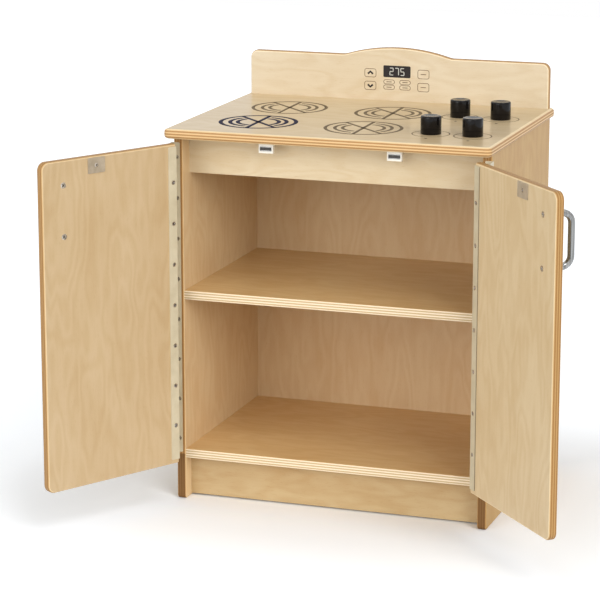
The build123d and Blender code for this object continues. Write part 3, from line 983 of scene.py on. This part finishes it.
def arc(centre, radius, start, end, steps=48):
    """Points of an arc, with its angles in degrees."""
    x, y = centre
    angles = [radians(start + (end - start) * step / steps) for step in range(steps + 1)]
    return [(x + radius * cos(angle), y + radius * sin(angle)) for angle in angles]


def circle(centre, radius, count):
    """Points of a whole circle, without its first point again at the end."""
    return arc(centre, radius, 0, 360, count)[:-1]


def burner(centre):
    """The lines of one burner."""
    lines = [(circle(centre, BURNER_RADIUS, BURNER_POINTS), True)]
    for angle in CROSS_ANGLES:
        ends = [arc(centre, BURNER_RADIUS, angle + half, angle + half, 1)[0] for half in (0, 180)]
        lines.append((ends, False))
    steep, slanted = CROSS_ANGLES
    for radius in ARC_RADII:
        lines.append((arc(centre, radius, slanted + ARC_GAP, steep + 180 - ARC_GAP), False))
        lines.append((arc(centre, radius, slanted - 180 + ARC_GAP, steep - ARC_GAP), False))
    return lines

navy_ink = ink_finish("navy_ink", paint(8, 6, 46))
brown_ink = ink_finish("brown_ink", paint(118, 102, 78))
for name, centre in BURNERS.items():
    switched_on = name == "front_left"
    ink = navy_ink if switched_on else brown_ink
    width = BOLD_LINE if switched_on else BURNER_LINE
    print_lines(f"{name}_burner", burner(centre), width, ink, on_hob)

# %% [markdown]
# A printed ring lies round each knob, and a dot in front of it marks off.

# %% Dials round the knobs
def print_patches(name, outlines, ink, place):
    """Filled areas of ink, as thick as the film."""
    shape = bmesh.new()
    for outline in outlines:
        rims = [
            [shape.verts.new(Vector((x, y, lift * INK_FILM / 2)) * MM) for x, y in outline]
            for lift in (-1, 1)
        ]
        shape.faces.new(list(reversed(rims[0])))
        shape.faces.new(rims[1])
        add_wall(shape, *rims)
    mesh = mesh_from(shape, name)
    mesh.transform(place)
    add_piece(name, mesh, "stove", ink)
    print(name, "patches", len(outlines))

panel_black = ink_finish("panel_black", paint(52, 48, 48))
DIAL_RADIUS = 28.0
DIAL_POINTS = 72
DIAL_LINE = 1.8
DOT_RADIUS = 2.2
DOT_POINTS = 24
DOT_RIGHT = 4.0
DOT_FORWARD = 41.0
dots = []
for name, (x, y) in knob_centres.items():
    dial = circle((x, y), DIAL_RADIUS, DIAL_POINTS)
    print_lines(f"{name}_dial", [(dial, True)], DIAL_LINE, brown_ink, on_hob)
    dots.append(circle((x + DOT_RIGHT, y - DOT_FORWARD), DOT_RADIUS, DOT_POINTS))
print_patches("dial_dots", dots, panel_black, on_hob)

# %% [markdown]
# The control panel has two pairs of keys, and between them a dark display with
# a plain number and four small keys under it. Key outlines and the number are
# lines too: the number is drawn in seven segments, as on a kitchen clock. It
# lies on the display's ink, half a film above it.

# %% Control panel on the backsplash
panel_place = Matrix.Translation((0, splash_front * MM, 0)) @ Matrix.Rotation(pi / 2, 4, "X")
panel_grey = ink_finish("panel_grey", paint(120, 100, 80))
digit_pale = ink_finish("digit_pale", paint(208, 208, 200))

def rounded_box(left, right, low, high, corner, steps=6):
    """The outline of a key with round corners."""
    points = []
    centres = (
        (right - corner, high - corner, 0), (left + corner, high - corner, 90),
        (left + corner, low + corner, 180), (right - corner, low + corner, 270),
    )
    for x, y, start in centres:
        points += arc((x, y), corner, start, start + 90, steps)
    return points


# Left, right, lower and upper edge of each key
keys = [
    (-54.0, -35.2, 623.1, 636.2), (-54.0, -35.2, 602.6, 616.0),
    (34.4, 52.9, 624.0, 637.8), (34.4, 52.9, 603.4, 616.8),
]
small_keys = [
    (-22.2, -4.3, 613.2, 619.8), (4.4, 22.1, 613.2, 619.8),
    (-22.2, -4.3, 604.6, 611.4), (4.4, 22.1, 604.6, 611.4),
]
display = (-22.9, 22.3, 623.9, 642.8)
KEY_CORNER = 3.2
KEY_LINE = 0.9
DISPLAY_CORNER = 2.0
key_outlines = [(rounded_box(*key, KEY_CORNER), True) for key in keys + small_keys]
print_lines("key_outlines", key_outlines, KEY_LINE, panel_grey, panel_place)
print_patches("display", [rounded_box(*display, DISPLAY_CORNER)], panel_black, panel_place)

# Ends of each digit's lines, in digit widths and half heights
SEGMENTS = {
    "2": ((0, 2, 1, 2), (1, 2, 1, 1), (0, 1, 1, 1), (0, 1, 0, 0), (0, 0, 1, 0)),
    "7": ((0, 2, 1, 2), (1, 2, 1, 1), (1, 1, 1, 0)),
    "5": ((0, 2, 1, 2), (0, 2, 0, 1), (0, 1, 1, 1), (1, 1, 1, 0), (0, 0, 1, 0)),
}
DIGIT_WIDTH = 5.4
DIGIT_HEIGHT = 11.0
DIGIT_PITCH = 9.0
DIGIT_LINE = 1.3
NUMBER = "275"
NUMBER_MIDDLE = (-0.3, 633.3)
number_left = NUMBER_MIDDLE[0] - len(NUMBER) / 2 * DIGIT_PITCH
corner_y = NUMBER_MIDDLE[1] - DIGIT_HEIGHT / 2
digit_lines = []
for count, digit in enumerate(NUMBER):
    corner_x = number_left + count * DIGIT_PITCH + (DIGIT_PITCH - DIGIT_WIDTH) / 2
    for x1, y1, x2, y2 in SEGMENTS[digit]:
        ends = [
            (corner_x + x * DIGIT_WIDTH, corner_y + y * DIGIT_HEIGHT / 2)
            for x, y in ((x1, y1), (x2, y2))
        ]
        digit_lines.append((ends, False))
lifted = Matrix.Translation((0, -INK_FILM / 2 * MM, 0)) @ panel_place
print_lines("display_number", digit_lines, DIGIT_LINE, digit_pale, lifted)

# %% [markdown]
# The two keys on the left carry bold arrows, up and down, and all the others a
# plain dash.

# %% Arrows and dashes
ARROW_X = -44.6
ARROW_REACH = 4.2
ARROW_TIP = 2.2
ARROW_TAIL = 1.6
ARROW_LINE = 3.2
DASH_SHARE = 0.24
DASH_LINE = 1.2
arrows = []
for height, way in ((629.6, 1), (609.3, -1)):
    tail = height - way * ARROW_TAIL
    tip = (ARROW_X, height + way * ARROW_TIP)
    arrows.append(([(ARROW_X - ARROW_REACH, tail), tip, (ARROW_X + ARROW_REACH, tail)], False))
print_lines("arrows", arrows, ARROW_LINE, panel_black, panel_place)
dashes = []
for left, right, low, high in keys[2:] + small_keys:
    middle = (left + right) / 2
    height = (low + high) / 2
    reach = (right - left) * DASH_SHARE
    dashes.append(([(middle - reach, height), (middle + reach, height)], False))
print_lines("dashes", dashes, DASH_LINE, panel_grey, panel_place)

# %% [markdown]
# The stove stands on white paper. Light alone leaves such paper grey wherever
# a shadow falls, so the floor also glows a little, but only in rays that the
# camera sees, straight or mirrored, so that the glow lights nothing. It fades
# out towards the stove, where the shadows have to stay.

# %% Floor
FLOOR_REACH = 6.0
PAPER = (0.92, 0.935, 0.95, 1.0)
FLOOR_GLOW = (0.311, 0.333, 0.356, 1.0)
BLACK = (0.0, 0.0, 0.0, 1.0)
NEAR_FADE = 90.0
FAR_START = 110.0
FAR_FADE = 200.0
corners = [(x * FLOOR_REACH, y * FLOOR_REACH, 0) for x, y in ((-1, -1), (1, -1), (1, 1), (-1, 1))]
floor_mesh = bpy.data.meshes.new("floor")
floor_mesh.from_pydata(corners, [], [(0, 1, 2, 3)])
floor = bpy.data.objects.new("floor", floor_mesh)
bpy.context.scene.collection.objects.link(floor)

def ramp(value, start, length):
    """0 up to start, 1 from start + length on, and a straight line between."""
    return ((value - start) * (1 / length)).maths("MAXIMUM", 0.0).maths("MINIMUM", 1.0)

floor_white, recipe = new_recipe("floor_white")
place = object_place(recipe)
half_depth = span("left_side", Y)[1] / 2 * MM
beside = along(recipe, place, AXES["x"]).maths("ABSOLUTE") - span("right_side", X)[1] * MM
in_front = (along(recipe, place, AXES["y"]) - half_depth).maths("ABSOLUTE") - half_depth
distance = beside.maths("MAXIMUM", in_front) * (1 / MM)
away = ramp(distance, 0.0, NEAR_FADE) * 0.36 + ramp(distance, FAR_START, FAR_FADE) * 0.64
finish_material(
    recipe,
    {
        "Base Color": PAPER,
        "Roughness": 0.9,
        "Specular IOR Level": 0.1,
        "Emission Color": recipe.blend(seen_in_picture(recipe) * away, BLACK, FLOOR_GLOW),
        "Emission Strength": 1.0,
    },
)
floor_mesh.materials.append(floor_white)
print("floor set, with its glow whole from", FAR_START + FAR_FADE, "mm away")

# %% [markdown]
# Two broad suns stand low, one to the right of the camera and one to the left,
# and shine into the open cupboard. A weaker one stands high at the right. Their
# large angles make soft shadows. The right one of the low suns isn't mirrored
# in gloss, because seen from behind it would turn the lacquered hob white. The
# sky gives even light from all sides, and the camera sees it as plain white.

# %% Suns and sky
SKY_LIGHT = 0.52
WHITE = (1.0, 1.0, 1.0, 1.0)

def add_sun(name, strength, angle, azimuth, elevation, mirrored=True):
    """A soft sun; azimuth 0 shines from the front, 90 from the right."""
    lamp = bpy.data.lights.new(name, "SUN")
    lamp.energy = strength
    lamp.angle = radians(angle)
    sun = bpy.data.objects.new(name, lamp)
    around = radians(azimuth)
    up = radians(elevation)
    source = Vector((sin(around) * cos(up), -cos(around) * cos(up), sin(up)))
    sun.rotation_mode = "QUATERNION"
    sun.rotation_quaternion = source.to_track_quat("Z", "Y")
    sun.visible_glossy = mirrored
    bpy.context.scene.collection.objects.link(sun)

add_sun("front_right", strength=1.45, angle=36, azimuth=46, elevation=21, mirrored=False)
add_sun("front_left", strength=1.25, angle=40, azimuth=-20, elevation=14)
add_sun("key", strength=0.6, angle=24, azimuth=50, elevation=52)
world = bpy.data.worlds.new("studio")
bpy.context.scene.world = world
world.use_nodes = True
world.node_tree.nodes.clear()
recipe = Recipe(world.node_tree)
sky = recipe.node("ShaderNodeBackground", {}, {"Color": WHITE, "Strength": SKY_LIGHT})
backdrop = recipe.node("ShaderNodeBackground", {}, {"Color": WHITE, "Strength": 1.0})
both = recipe.node("ShaderNodeMixShader", {}, {0: seen_in_picture(recipe), 1: sky, 2: backdrop})
recipe.node("ShaderNodeOutputWorld", {}, {"Surface": both})
bpy.context.scene.view_settings.view_transform = "Standard"
print("suns and sky set")

# %% [markdown]
# The photograph was taken with a long lens from in front and above. The camera
# stands at the same place and looks down at the stove.

# %% Camera
AZIMUTH = radians(19.037)
DISTANCE = 3806.7
TARGET_X = -43.83
CAMERA_HEIGHT = 1241.1
LENS_PIXELS = 2610.5
TILT = radians(13.372)
FRAME_PIXELS = 600
SENSOR_WIDTH = 36.0
CLIP_END = 50.0
lens = bpy.data.cameras.new("camera")
lens.sensor_width = SENSOR_WIDTH
lens.lens = LENS_PIXELS / FRAME_PIXELS * SENSOR_WIDTH
lens.clip_end = CLIP_END
camera = bpy.data.objects.new("camera", lens)
bpy.context.scene.collection.objects.link(camera)
camera.location = (
    (TARGET_X * cos(AZIMUTH) + DISTANCE * sin(AZIMUTH)) * MM,
    (TARGET_X * sin(AZIMUTH) - DISTANCE * cos(AZIMUTH)) * MM,
    CAMERA_HEIGHT * MM,
)
camera.rotation_euler = (pi / 2 - TILT, 0, AZIMUTH)
bpy.context.scene.camera = camera
print("camera", [round(value, 3) for value in camera.location])
